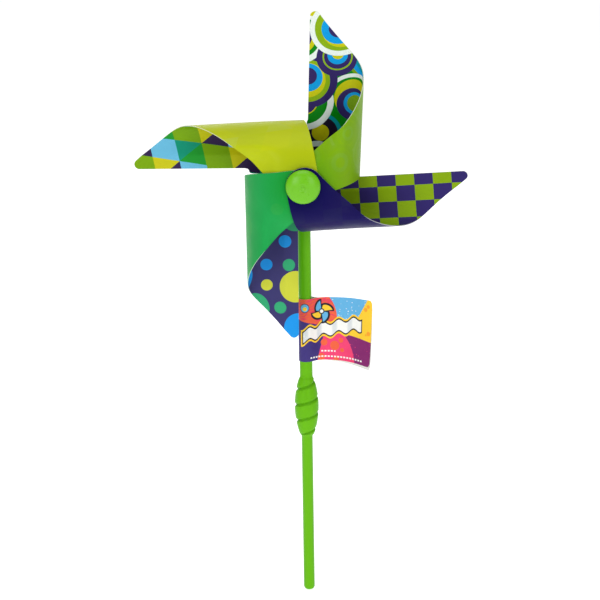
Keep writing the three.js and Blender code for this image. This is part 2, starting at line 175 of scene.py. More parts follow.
class Field:
    """A number that varies over a surface. Arithmetic on it adds nodes to the material."""

    def __init__(self, tree, socket):
        self.tree = tree
        self.socket = socket

    def math(self, operation, *others, clamp=False):
        inputs = dict(enumerate((self, *others)))
        node = add_node(self.tree, "Math", inputs, operation=operation, use_clamp=clamp)
        return Field(self.tree, node.outputs[0])

    def __add__(self, other):
        return self.math("ADD", other)

    def __sub__(self, other):
        return self.math("SUBTRACT", other)

    def __mul__(self, other):
        return self.math("MULTIPLY", other)

    def floor(self):
        return self.math("FLOOR")

    def fraction(self):
        return self.math("FRACT")

    def remainder(self, whole):
        return self.math("FLOORED_MODULO", whole)

    def equals(self, value):
        return self.math("COMPARE", value, 0.5)

    def above(self, edge, blur=PRINT_BLUR):
        """1 where the number is above the edge, 0 where it is below, and mixed across the blur."""
        if not blur:
            return self.math("GREATER_THAN", edge)
        return self.math("MULTIPLY_ADD", 1 / blur, 0.5 - edge / blur, clamp=True)

    def below(self, edge, blur=PRINT_BLUR):
        """The other way round from above."""
        if not blur:
            return self.math("LESS_THAN", edge)
        return self.math("MULTIPLY_ADD", -1 / blur, 0.5 + edge / blur, clamp=True)


class Paint:
    """Builds one material: a colour laid on coat by coat, then its gloss and its fine relief."""

    def __init__(self, name, base, coordinates="Object"):
        self.material = bpy.data.materials.new(name)
        self.material.use_nodes = True
        self.tree = self.material.node_tree
        self.shader = self.tree.nodes["Principled BSDF"]
        self.colour = base
        if coordinates == "Object":
            self.place = self.node("TexCoord").outputs["Object"]
        else:
            self.place = self.node("UVMap", uv_map=coordinates).outputs["UV"]

    def node(self, kind, inputs=None, **settings):
        return add_node(self.tree, kind, inputs or {}, **settings)

    def axis(self, letter):
        node = self.node("SeparateXYZ", {0: self.place})
        return Field(self.tree, node.outputs[letter])

    def distance(self, x, y):
        """How far each point of a flat print is from (x, y)."""
        node = self.node("VectorMath", {0: self.place, 1: (x, y, 0)}, operation="DISTANCE")
        return Field(self.tree, node.outputs["Value"])

    def noise(self, scale, detail=2.0, roughness=0.5, distortion=0.0, stretch=None):
        """Soft random patches; the larger the scale, the smaller they are."""
        place = self.place
        if stretch:
            place = self.node("Mapping", {"Vector": place, "Scale": stretch}).outputs["Vector"]
        node = self.node("TexNoise", {
            "Vector": place,
            "Scale": scale,
            "Detail": detail,
            "Roughness": roughness,
            "Distortion": distortion,
        })
        return Field(self.tree, node.outputs["Fac"])

    def ranged(self, low, high, field):
        """From low to high, as the field goes from 0 to 1."""
        node = self.node("MapRange", {"Value": field, "To Min": low, "To Max": high})
        return node.outputs["Result"]

    def mixed(self, share, first, second, blend="MIX"):
        inputs = {"Factor": share, "A": first, "B": second}
        return self.node("Mix", inputs, data_type="RGBA", blend_type=blend).outputs["Result"]

    def coat(self, share, colour):
        """Lays a colour over what is there, where the share is 1."""
        self.colour = self.mixed(share, self.colour, colour)

    def shade(self, low, high, field):
        """Multiplies the colour by a number from low to high, as the field goes from 0 to 1."""
        self.colour = self.mixed(1, self.colour, self.ranged(low, high, field), "MULTIPLY")

    def roughness(self, low, high, field):
        plug(self.tree, self.shader.inputs["Roughness"], self.ranged(low, high, field))

    def relief(self, height, distance):
        """Bump from a field; distance is in metres."""
        node = self.node("Bump", {"Strength": 1, "Distance": distance, "Height": height})
        plug(self.tree, self.shader.inputs["Normal"], node.outputs["Normal"])

    def done(self, specular=0.3):
        plug(self.tree, self.shader.inputs["Base Color"], self.colour)
        self.shader.inputs["Specular IOR Level"].default_value = specular
        return self.material


# ======== floor

FLOOR_SIDE = 60.0  # metres, so that low views see no end of it
FLOOR_DROP = 0.0005  # metres under the stick's end
FLOOR_GREY = (0.6, 0.6, 0.6, 1)
GLOW = 0.8  # what keeps the floor white far from the lights


def make_floor():
    """A plain pale floor."""
    half = FLOOR_SIDE / 2
    corners = [(x * half, y * half, -FLOOR_DROP) for x, y in ((-1, -1), (1, -1), (1, 1), (-1, 1))]
    mesh = bpy.data.meshes.new("floor")
    mesh.from_pydata(corners, [], [(0, 1, 2, 3)])
    paint = Paint("floor", FLOOR_GREY)
    paint.shader.inputs["Emission Strength"].default_value = GLOW
    paint.shader.inputs["Emission Color"].default_value = (1, 1, 1, 1)
    paint.shader.inputs["Roughness"].default_value = 0.9
    mesh.materials.append(paint.done(specular=0.1))
    link("floor", mesh)


# ======== colours

PURPLE = linear(45, 34, 92)
NAVY = linear(57, 54, 106)
LIME = linear(127, 163, 12)
WHITE = linear(216, 226, 220)
BLUE = linear(2, 145, 210)
YELLOW = linear(186, 186, 8)
DEEP_GREEN = linear(4, 124, 15)
TEAL = linear(0, 139, 150)
OLIVE = linear(112, 151, 8)
BLACK_PURPLE = linear(28, 20, 42)
MUSTARD = linear(188, 184, 6)
STICK_GREEN = linear(100, 178, 14)
# the colour of the painted shade in the grip's groove
GROOVE_SHADE_GREEN = linear(62, 132, 4)
CAP_GREEN = linear(104, 182, 14)
WASHER_WHITE = linear(230, 232, 226)


# ======== blades
# A flat sheet lies in (u, q): u along its long straight edge, q across it from the hub hole to the
# tip hole. Curled, v runs across the curl and w forward from the root. These match the CAD sheets.

GAP = 0.3  # between neighbouring pieces on the pin
SHEET = 0.5
STACK_PITCH = SHEET + GAP
EYE_RADIUS = 13.6
TIP_EYE_RADIUS = 13.2
TIP_EYE_SHIFT = 1.2
HOLE_RADIUS = 1.4
LOBE_REACH = 38.0
LOBE_ROUND = 3.0
LOBE_STEP = 4.0
EDGE_SLOPE = 0.3
END_EDGE_START = 40.0
END_EDGE_CLEARANCE = 1.0
FLAT_REACH = 14.0
CURL_HEIGHT = 39.0
CURL_BACK_PULL = 41.0
CURL_FRONT_PULL = 23.5
CURL_SAG = 14.0
LEAN = math.tan(math.radians(6))
LEAN_BLEND = 30.0
TIP_DROOP = 12.0
TIP_DROOP_RATE = 0.046
DROOP_FADE_END = 28.0
FLARE_CENTRE = 45.0
FLARE_RUN = 30.0

SHEET_UV = "sheet"
GRID_ALONG = 2.0  # mesh size along u
GRID_ROUND = 1.0  # mesh size round the curl
GRID_START = 0.37  # of a mesh size, which keeps the grid off the outline's own corners
LONGEST = 130.0  # the grid's reach along u ...
WIDEST = 129.0  # ... and along q
TINY = 1e-4
EYE_STEPS = 40
POINT_STEPS = 16
LOBE_STEPS = 6
EDGE_STEPS = 24
HOLE_STEPS = 28

# turn: in degrees from straight up, anticlockwise seen from the front. long_edge, lobe_edge: how far
# the long edge, and the edge of the lobe beside the root, lie from the hub hole's middle. reach: how
# far out the far point is centred. point: its radius. hollow: how far the slanting edge bends in.
# end_pull: the pull of the end edge's curve. fullness, flare: how much wider the curl is, and how
# much more so further out.
Cut = namedtuple("Cut", "name turn long_edge lobe_edge reach point hollow end_pull fullness flare")
BLADES = [
    Cut("rings", -1.7, 3.0, 1.8, 113.0, 3.5, 5.0, (1.0, 80.0), 0.065, 0.022),
    Cut("triangles", 88.7, 4.6, 0.4, 114.5, 3.5, 1.0, (-3.0, 57.0), -0.02, -0.055),
    Cut("dots", 180.0, 4.6, 1.8, 113.0, 3.5, 2.0, (-7.5, 57.0), 0.07, -0.01),
    Cut("checker", 273.9, 4.6, 3.4, 111.5, 3.2, 5.0, (-7.5, 57.0), -0.015, 0.012),
]


def smoothstep(value, low, high):
    share = min(max((value - low) / (high - low), 0), 1)
    return share * share * (3 - 2 * share)


def bezier(points, share):
    """A point of a Bezier curve of any degree."""
    points = [Vector(point) for point in points]
    while len(points) > 1:
        points = [a.lerp(b, share) for a, b in zip(points, points[1:])]
    return points[0]


class Section:
    """The curl's section, by length: a flat root, one free curve, and a flat tip above the root."""

    STEPS = 800

    def __init__(self):
        corners = [
            (FLAT_REACH, 0),
            (FLAT_REACH + CURL_BACK_PULL, -CURL_SAG),
            (FLAT_REACH + CURL_FRONT_PULL, CURL_HEIGHT),
            (FLAT_REACH, CURL_HEIGHT),
        ]
        self.points = [bezier(corners, step / self.STEPS) for step in range(self.STEPS + 1)]
        self.lengths = [0.0]
        for a, b in zip(self.points, self.points[1:]):
            self.lengths.append(self.lengths[-1] + (b - a).length)
        self.curl = self.lengths[-1]
        self.tip_hole = self.curl + 2 * FLAT_REACH

    def at(self, q):
        """(v, w) at a distance q from the hub hole, along the sheet."""
        past = q - FLAT_REACH
        if past <= 0:
            return q, 0.0
        if past >= self.curl:
            return FLAT_REACH - (past - self.curl), CURL_HEIGHT
        i = bisect_left(self.lengths, past)
        share = (past - self.lengths[i - 1]) / (self.lengths[i] - self.lengths[i - 1])
        return tuple(self.points[i - 1].lerp(self.points[i], share))


section = Section()


def sheet_point(cut, u, q):
    """Where a point of the sheet's middle is on the curled blade: u up, v right, w towards -Y."""
    v, w = section.at(q)
    past = max(u - FLAT_REACH, 0)
    lean = past * past / (2 * LEAN_BLEND) if past < LEAN_BLEND else past - LEAN_BLEND / 2
    droop = 0
    if q > section.tip_hole / 2:
        beside = 1 - smoothstep(v, FLAT_REACH, DROOP_FADE_END)
        droop = beside * TIP_DROOP * (1 - math.exp(-TIP_DROOP_RATE / TIP_DROOP * past * past))
    wider = 1 + cut.fullness + cut.flare * (u - FLARE_CENTRE) / FLARE_RUN
    across = min(v, FLAT_REACH) + wider * max(v - FLAT_REACH, 0)
    return Vector((across, -(w + LEAN * lean - droop), u))


def sheet_normal(cut, u, q):
    """Out of the plain side, which is the outside of the curl."""
    step = 0.05
    along_u = sheet_point(cut, u + step, q) - sheet_point(cut, u - step, q)
    along_q = sheet_point(cut, u, q + step) - sheet_point(cut, u, q - step)
    return along_u.cross(along_q).normalized()


def arc(centre, radius, start, end, steps):
    """Points on an arc, angles in radians, both ends included."""
    x, y = centre
    angles = [start + (end - start) * step / steps for step in range(steps + 1)]
    return [(x + radius * math.cos(angle), y + radius * math.sin(angle)) for angle in angles]


def curve_through(start, pull, end, steps):
    """Points of a quadratic curve after its start, its end included."""
    return [tuple(bezier((start, pull, end), step / steps)) for step in range(1, steps + 1)]


def sheet_outline(cut):
    """The flat sheet's outline in (u, q), anticlockwise."""
    tip_hole = section.tip_hole
    point_centre = cut.long_edge + cut.point
    inwards = cut.reach - TIP_EYE_SHIFT
    apart = math.hypot(inwards, tip_hole - point_centre)
    towards_tip = math.atan2(tip_hole - point_centre, -inwards)
    outward = towards_tip - math.acos((cut.point - TIP_EYE_RADIUS) / apart)
    direction = Vector((math.cos(outward), math.sin(outward)))
    on_point = Vector((cut.reach, point_centre)) + cut.point * direction
    on_tip = Vector((TIP_EYE_SHIFT, tip_hole)) + TIP_EYE_RADIUS * direction
    edge_pull = on_point.lerp(on_tip, 0.5) - 2 * cut.hollow * direction
    edge_start = cut.long_edge - EDGE_SLOPE
    lobe_side = (LOBE_REACH, (cut.lobe_edge + edge_start) / 2)

    outline = arc((0, 0), EYE_RADIUS, math.pi / 2, 2 * math.pi, EYE_STEPS)
    outline.append((LOBE_REACH - LOBE_ROUND, cut.lobe_edge))
    outline += curve_through(outline[-1], (LOBE_REACH, cut.lobe_edge), lobe_side, LOBE_STEPS)
    step_end = (LOBE_REACH + LOBE_STEP, edge_start)
    outline += curve_through(lobe_side, (LOBE_REACH, edge_start), step_end, LOBE_STEPS)
    outline += arc((cut.reach, point_centre), cut.point, -math.pi / 2, outward, POINT_STEPS)
    outline += curve_through(outline[-1], edge_pull, on_tip, EDGE_STEPS)
    outline += arc((TIP_EYE_SHIFT, tip_hole), TIP_EYE_RADIUS, outward, math.pi, EDGE_STEPS)[1:]
    end = (END_EDGE_CLEARANCE, END_EDGE_START)
    outline += curve_through(outline[-1], cut.end_pull, end, POINT_STEPS)
    outline.append((END_EDGE_CLEARANCE, EYE_RADIUS))
    return outline


def flat_sheet(cut):
    """The flat sheet with its two holes, cut into a fine grid. x is u and y is q, in millimetres."""
    bm = bmesh.new()
    holes = [arc((0, q), HOLE_RADIUS, 0, 2 * math.pi, HOLE_STEPS)[:-1] for q in (0, section.tip_hole)]
    for loop in (sheet_outline(cut), *holes):
        corners = [bm.verts.new((x, y, 0)) for x, y in loop]
        for a, b in zip(corners, corners[1:] + corners[:1]):
            bm.edges.new((a, b))
    bmesh.ops.triangle_fill(bm, use_beauty=True, edges=bm.edges[:], normal=(0, 0, 1))
    for across, size, reach in (
        (Vector((1, 0, 0)), GRID_ALONG, LONGEST),
        (Vector((0, 1, 0)), GRID_ROUND, WIDEST),
    ):
        for i in range(int(reach / size)):
            through = across * (size * (i + GRID_START) - EYE_RADIUS)
            everything = bm.verts[:] + bm.edges[:] + bm.faces[:]
            bmesh.ops.bisect_plane(bm, geom=everything, dist=1e-5, plane_co=through, plane_no=across)

    # what is left of the first filling's slanting edges goes, so that only the grid is left
    def slants(edge):
        a, b = (vert.co for vert in edge.verts)
        return not edge.is_boundary and abs(a.x - b.x) > TINY and abs(a.y - b.y) > TINY

    bmesh.ops.dissolve_edges(bm, edges=[e for e in bm.edges if slants(e)], use_verts=True)
    for face in bm.faces:
        face.normal_update()
        if face.normal.z < 0:
            face.normal_flip()
    bm.verts.index_update()
    return bm


OUTER_SIDE, INNER_SIDE, CUT_EDGE = range(3)  # the material slots of a thin sheet


def sheet_face(bm, uv, corners, flat_places, slot):
    """One face of a thin sheet; flat_places are its corners' places on the flat print."""
    face = bm.faces.new(corners)
    face.material_index = slot
    face.smooth = slot != CUT_EDGE
    for loop, place in zip(face.loops, flat_places):
        loop[uv].uv = place


def sharpen_rims(bm):
    """Sharp edges wherever two materials meet."""
    for edge in bm.edges:
        edge.smooth = len({face.material_index for face in edge.link_faces}) == 1


def finished(bm, name):
    mesh = bpy.data.meshes.new(name)
    bm.to_mesh(mesh)
    bm.free()
    return mesh


def blade_mesh(cut, place, root):
    """The curled sheet: plain side, printed side and cut rim, in metres where it belongs."""
    flat = flat_sheet(cut)
    turn = Matrix.Rotation(-math.radians(cut.turn), 4, "Y")
    stand = Matrix.Translation((0, -(root + place * STACK_PITCH), hub_height)) @ turn
    sheet = [(vert.co.x, vert.co.y) for vert in flat.verts]
    middles = [sheet_point(cut, u, q) for u, q in sheet]
    halves = [sheet_normal(cut, u, q) * SHEET / 2 for u, q in sheet]
    places = [stand @ (p + h) * MM for p, h in zip(middles, halves)]
    places += [stand @ (p - h) * MM for p, h in zip(middles, halves)]
    count = len(sheet)

    faces = [(OUTER_SIDE, [loop.vert.index for loop in face.loops]) for face in flat.faces]
    for face in flat.faces:
        faces.append((INNER_SIDE, [loop.vert.index + count for loop in reversed(face.loops)]))
    for face in flat.faces:
        for loop in face.loops:
            if loop.edge.is_boundary:
                a = loop.vert.index
                b = loop.link_loop_next.vert.index
                faces.append((CUT_EDGE, [b, a, a + count, b + count]))
    flat.free()

    bm = bmesh.new()
    verts = [bm.verts.new(place) for place in places]
    uv = bm.loops.layers.uv.new(SHEET_UV)
    for slot, corners in faces:
        sheet_face(bm, uv, [verts[i] for i in corners], [sheet[i % count] for i in corners], slot)
    sharpen_rims(bm)
    return finished(bm, "blade_" + cut.name)


# ---- what is printed on the four sheets; places are (q, u) ----


def spot(paint, x, y, radius, colour):
    """A disc on a flat print."""
    paint.coat(paint.distance(x, y).below(radius), colour)


def target(paint, q, u, rings, scale=1.0):
    """Discs about one place, each (radius, colour), the later ones on top."""
    for radius, colour in rings:
        spot(paint, u, q, radius * scale, colour)


def ring_print(paint):
    """Overlapping targets of rings."""
    # (q, u, size): most of these are under the curl, and two kinds of target take turns
    places = [
        (70, 36, 15), (76, 16, 13), (58, 66, 14), (95, 44, 14), (52, 20, 12),
        (96, 20, 11), (34, 8, 14), (104, -2, 10), (12, -8, 9), (60, -4, 8),
    ]
    kinds = [
        [(1, WHITE), (0.86, DEEP_GREEN), (0.66, YELLOW), (0.52, PURPLE), (0.34, BLUE), (0.18, LIME)],
        [(1, PURPLE), (0.8, LIME), (0.66, PURPLE), (0.52, BLUE), (0.28, YELLOW)],
    ]
    for i, (q, u, size) in enumerate(places):
        target(paint, q, u, kinds[i % 2], size)
    for q, u, *rings in [
        # a big target past the curl's edge
        (50, 92, (25.5, OLIVE), (23.3, BLUE), (19.8, TEAL), (12, PURPLE)),
        # right of the middle
        (35, 50, (22.8, WHITE), (20.2, DEEP_GREEN)),
        (34, 55, (13.5, YELLOW)),
        (34, 50.5, (11.8, PURPLE)),
        (35, 51.3, (8.2, BLUE)),
        (35.3, 51.3, (6.2, OLIVE)),
        # low, dark, with a mustard middle
        (31, 29, (7, BLACK_PURPLE)),
        (11, 29, (15.2, TEAL), (12.6, BLACK_PURPLE)),
        (11.6, 30, (6, MUSTARD)),
        # a white arc round deep green
        (0, 52, (20.3, WHITE), (16, DEEP_GREEN), (9.3, YELLOW), (8.5, PURPLE)),
        # lowest
        (9.5, 10, (14, WHITE), (10, BLACK_PURPLE), (6, LIME)),
        # on the long edge
        (3, 67.3, (19.5, PURPLE)),
        (2.5, 67, (15, LIME)),
        (2.2, 67.6, (12.3, YELLOW)),
        (2.5, 69.5, (10, BLUE)),
        (2.5, 70.5, (6, PURPLE)),
        (-4, 98, (18.5, WHITE), (14.5, DEEP_GREEN), (11.5, YELLOW), (8.5, PURPLE)),
        # below the top one
        (21.5, 84, (13.6, PURPLE)),
        (22, 84.5, (9.9, LIME), (8.8, PURPLE)),
        (22, 85.5, (6.6, BLUE)),
        (22.2, 86.3, (3.8, YELLOW)),
        # a scrap of yellow at the point, and the top one
        (5, 118, (5, YELLOW)),
        (22.5, 104.5, (19.5, WHITE), (16, LIME)),
        (23.5, 103, (11.8, YELLOW)),
        (22, 104.3, (10.9, BLUE)),
        (22.3, 104.3, (6.4, PURPLE)),
    ]:
        target(paint, q, u, rings)


def dot_print(paint):
    """Spots of three colours, big and small."""
    blue = linear(28, 146, 226)
    green = linear(50, 165, 112)
    yellow = linear(200, 205, 60)
    for q, u, radius, colour in [
        (5, 109, 10, blue), (37, 96, 12, green), (17.5, 95, 4.2, green), (6.5, 80, 11.2, yellow),
        (26.5, 79, 4, yellow), (11, 64.5, 4.3, green), (26.5, 64.5, 4.1, blue),
        (13.5, 47.7, 4.4, blue), (45.5, 70.5, 8.5, blue), (36.5, 51, 9.7, green), (6, 29.5, 11, green),
        # under the curl
        (56, 50, 4.2, yellow), (24, 34, 4.2, yellow), (62, 68, 9, yellow), (74, 50, 4.2, blue),
        (52, 32, 9.5, yellow), (38, 22, 4.2, blue), (26, 10, 9.5, blue), (70, 30, 4.2, green),
        (88, 36, 9, green), (62, 12, 9, green), (84, 16, 4.2, yellow), (100, 14, 8, blue),
        (44, 4, 4.2, green), (8, 4, 4.2, yellow),
    ]:
        spot(paint, u, q, radius, colour)


CHECK_ALONG = 13.0  # a square's size along u, and where a row of squares starts
CHECK_START = 38.3
CHECK_ACROSS = 12.0  # the same across it
CHECK_SIDE = 0.4
CHECK_GREEN = linear(125, 157, 17)


def checker_print(paint):
    """Two colours of squares."""
    along = ((paint.axis("X") - CHECK_START) * (1 / CHECK_ALONG)).floor()
    across = ((paint.axis("Y") - CHECK_SIDE) * (1 / CHECK_ACROSS)).floor()
    odd = (along + across).remainder(2)
    paint.coat(odd.below(0.5, 0), CHECK_GREEN)


# The triangle print's cells: a skewed grid, each cell split by one diagonal. A row of the table is
# one line of cells across the grid, from the top row down, and each cell is (upper, lower).
CELL_ORIGIN = (10.0, 86.5)
CELL_ACROSS = (16.2, 3.6)
CELL_UP = (3.2, 18.8)
CELL_TOP = 2  # how many cells above the origin's own row the table's top row is
CELL_COLUMNS = 3


def triangle_print(paint):
    """Triangles and slanting squares."""
    sky = linear(98, 174, 206)
    teal = linear(13, 136, 108)
    green = linear(28, 140, 42)
    olive = linear(113, 155, 8)
    yellow = linear(188, 184, 22)
    dark = linear(48, 34, 72)
    rows = [
        [(green, green), (sky, yellow), (MUSTARD, MUSTARD)],
        [(olive, olive), (dark, dark), (green, teal)],
        [(yellow, dark), (sky, sky), (green, green)],
        [(sky, sky), (teal, green), (olive, olive)],
        [(olive, olive), (olive, olive), (MUSTARD, dark)],
        [(teal, green), (MUSTARD, dark), (sky, sky)],
        [(yellow, olive), (teal, teal), (dark, green)],
    ]
    q = paint.axis("Y") - CELL_ORIGIN[0]
    u = paint.axis("X") - CELL_ORIGIN[1]
    spread = CELL_ACROSS[0] * CELL_UP[1] - CELL_ACROSS[1] * CELL_UP[0]
    across = q * (CELL_UP[1] / spread) - u * (CELL_UP[0] / spread)
    up = u * (CELL_ACROSS[0] / spread) - q * (CELL_ACROSS[1] / spread)
    column = (across.floor() + 1).remainder(CELL_COLUMNS)
    row = (up.floor() * -1 + CELL_TOP).remainder(len(rows))
    lower = (across.fraction() + up.fraction()).below(1, 0)
    step = 1 / (2 * len(rows))
    index = row * (2 * step) + lower * step + step / 2
    for j in range(CELL_COLUMNS):
        ramp_node = paint.node("ValToRGB", {"Fac": index})
        ramp = ramp_node.color_ramp
        ramp.interpolation = "CONSTANT"
        cells = [colour for cells in rows for colour in cells[j]]
        ramp.elements[0].color = cells[0]
        ramp.elements[1].position = step
        ramp.elements[1].color = cells[1]
        for i, colour in enumerate(cells[2:], 2):
            ramp.elements.new(i * step).color = colour
        paint.coat(column.equals(j), ramp_node.outputs["Color"])


# how fine the patterns of the printed sheets are: noise scales, per millimetre
SHEET_BLOTCHES = 0.06
SHEET_GLOSS_PATCHES = 0.25
SHEET_WAVES = 0.045
SHEET_GRAIN = 4.0
SHEET_RELIEF = 0.0012  # metres


def sheet_finish(paint, gloss):
    """Thin printed plastic: a satin gloss that varies a little, and a surface that isn't quite flat."""
    paint.shade(0.93, 1.05, paint.noise(SHEET_BLOTCHES, detail=3))
    paint.roughness(0.3, 0.46, paint.noise(SHEET_GLOSS_PATCHES, detail=4, roughness=0.6))
    waves = paint.noise(SHEET_WAVES, detail=1)
    grain = paint.noise(SHEET_GRAIN, detail=1)
    paint.relief(waves + grain * 0.01, SHEET_RELIEF)
    return paint.done(specular=gloss)


# the painted shade about the tip hole, a darker and more saturated colour: how bright it is, how
# saturated, how far from the tip hole, and its blur
PAINTED_SHADE_SHARE = 0.8
PAINTED_SHADE_POWER = 0.5
PAINTED_SHADE_REACH = 22.0
PAINTED_SHADE_BLUR = 18.0
# painted highlight: each sheet's cut edge is painted whitish, standing in for light catching its thin
# rim
RIM_HIGHLIGHT = 0.45  # how white a cut edge is, and how much of the plain side's colour it keeps

# what is printed, its ground, the plain side's colour, how much shows through, and the gloss
SHEETS = {
    "rings": (ring_print, DEEP_GREEN, linear(116, 160, 8), 0.022, 0.08),
    "triangles": (triangle_print, YELLOW, linear(174, 186, 12), 0.035, 0.1),
    "dots": (dot_print, NAVY, linear(20, 154, 70), 0.02, 0.12),
    "checker": (checker_print, linear(47, 38, 98), linear(24, 18, 78), 0.01, 0.05),
}


def painted_shade_colour(colour):
    """The same hue, darker and more saturated: the colour of the painted shade about the tip hole."""
    top = max(colour[:3])
    return tuple(PAINTED_SHADE_SHARE * c * (c / top) ** PAINTED_SHADE_POWER for c in colour[:3]) + (1,)


def sheet_materials(name):
    """The plain side, the printed side and the cut rim of one sheet."""
    draw, ground, plain, show_through, gloss = SHEETS[name]
    back = Paint(f"{name}_plain_side", ground, SHEET_UV)
    draw(back)
    back.colour = back.mixed(show_through, plain, back.colour)
    # painted shade: the plain side's colour is darker and more saturated about the tip hole, beside the
    # cap
    painted_shade_by_cap = back.distance(0, section.tip_hole).below(PAINTED_SHADE_REACH, PAINTED_SHADE_BLUR)
    back.coat(painted_shade_by_cap, painted_shade_colour(plain))
    front = Paint(f"{name}_printed_side", ground, SHEET_UV)
    draw(front)
    # painted highlight: the cut rim takes the plain side's colour lightened towards white
    rim_highlight_colour = tuple(RIM_HIGHLIGHT * c + RIM_HIGHLIGHT for c in plain[:3]) + (1,)
    rim = Paint(f"{name}_cut_edge", rim_highlight_colour, SHEET_UV)
    rim.shade(0.85, 1.05, rim.noise(0.8, detail=3))
    rim.roughness(0.4, 0.6, rim.noise(2.0))
    return sheet_finish(back, gloss), sheet_finish(front, gloss), rim.done()


def make_blades():
    root = -node_box("rear_flange")[0].y + GAP + SHEET / 2
    for place, cut in enumerate(BLADES):
        name = cut.name
        blade = link(f"{name}_blade", blade_mesh(cut, place, root))
        for material in sheet_materials(name):
            blade.data.materials.append(material)
        stand_for(blade, f"blade_{name}", "wheel")


# ======== turned and moulded plastic pieces

CORNER_LIMIT = 2.1  # a rounded corner takes less than half of each side beside it


def soften(profile, radius, steps=4, closed=True):
    """Rounds the corners of an outline of (radius, height) pairs, but not its open ends."""
    points = [Vector(point) for point in profile]
    rounded = []
    for i, corner in enumerate(points):
        if not closed and i in (0, len(points) - 1):
            rounded.append(corner)
            continue
        before = points[i - 1] - corner
        after = points[(i + 1) % len(points)] - corner
        cut = min(radius, before.length / CORNER_LIMIT, after.length / CORNER_LIMIT)
        start = corner + before.normalized() * cut
        end = corner + after.normalized() * cut
        rounded += [bezier((start, corner, end), step / steps) for step in range(steps + 1)]
    return rounded


def turned(name, profile, segments, closed=False, forward=False):
    """A mesh turned about Z from (radius, height) points, in millimetres, or about -Y if forward."""
    bm = bmesh.new()
    angles = [2 * math.pi * i / segments for i in range(segments)]
    rows = []
    for radius, height in profile:
        row = [(radius * math.cos(a), radius * math.sin(a), height) for a in angles]
        rows.append([bm.verts.new(place) for place in (row if radius > TINY else row[:1])])
    following = rows[1:] + rows[:1] if closed else rows[1:]
    for below, above in zip(rows, following):
        for i in range(segments):
            j = (i + 1) % segments
            ring = ((below, i), (below, j), (above, j), (above, i))
            corners = [row[k % len(row)] for row, k in ring]
            bm.faces.new(list(dict.fromkeys(corners)))
    bmesh.ops.recalc_face_normals(bm, faces=bm.faces[:])
    if forward:
        bmesh.ops.rotate(bm, verts=bm.verts[:], matrix=Matrix.Rotation(math.pi / 2, 3, "X"))
    for face in bm.faces:
        face.smooth = True
    return finished(bm, name)


def raised_to_hub(mesh):
    mesh.transform(Matrix.Translation((0, 0, hub_height)))
    return mesh


def in_metres(mesh):
    mesh.transform(Matrix.Scale(MM, 4))
    return mesh


# how fine the patterns of the moulded plastic are: noise scales, per metre
FLOW_MARKS = 60
MOTTLE = 900
GLOSS_PATCHES = 220
GRAIN = 2600
WAVES = 120
MOULDED_RELIEF = 0.00012  # metres


def moulded(paint, roughness=(0.3, 0.44), specular=0.1):
    """Injection moulded plastic: slight flow marks, a soft gloss and very fine grain."""
    paint.shade(0.93, 1.06, paint.noise(FLOW_MARKS, detail=3, stretch=(1, 1, 0.25)))
    paint.shade(0.97, 1.02, paint.noise(MOTTLE, detail=2))
    paint.roughness(*roughness, paint.noise(GLOSS_PATCHES, detail=4, roughness=0.6))
    grain = paint.noise(GRAIN, detail=1)
    waves = paint.noise(WAVES, detail=1)
    paint.relief(waves + grain * 0.08, MOULDED_RELIEF)
    return paint.done(specular=specular)


def stand_for(piece, node, body):
    """Puts a finer piece in a CAD node's place."""
    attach(piece, body)
    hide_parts(node)


def on_axle(name, node, profile, segments, material, closed=False):
    """A turned piece of the wheel, which stands for a CAD node."""
    mesh = turned(node, profile, segments, closed, forward=True)
    piece = link(name, in_metres(raised_to_hub(mesh)))
    piece.data.materials.append(material)
    stand_for(piece, node, "wheel")


BORE_RADIUS = 1.3
CAP_SKIRT = 0.5
CAP_WALL = 1.1
CAP_BORE_COVER = 2.2  # what is left over the pin's end
CAP_NUB_RADIUS = 0.9
CAP_NUB_HEIGHT = 0.4
CAP_NUB_MARGIN = 0.5  # the dome stops this far from the nub
CAP_NUB_DRAFT = 0.15
CAP_NUB_ROUND = 0.12
CAP_NUB_CROWN = 0.2
CAP_SOCKET_RADIUS = 3.2
CAP_RIM_ROUND = 0.35
CAP_INNER_ROUND = 0.2
CAP_INNER_RISE = 0.25
CAP_DIMPLE_FLAT = 2.5  # the nub stands in a shallow dimple, flat up to here ...
CAP_DIMPLE_EDGE = 3.3  # ... and risen to the dome here
CAP_DIMPLE_DEPTH = 0.35
CAP_DOME_STEPS = 72
CAP_INNER_STEPS = 24
REAR_CAP_WALL = 1.2
REAR_CAP_ROUND = 0.9
PIN_ROUND = 0.3
RING_ROUND = 0.25


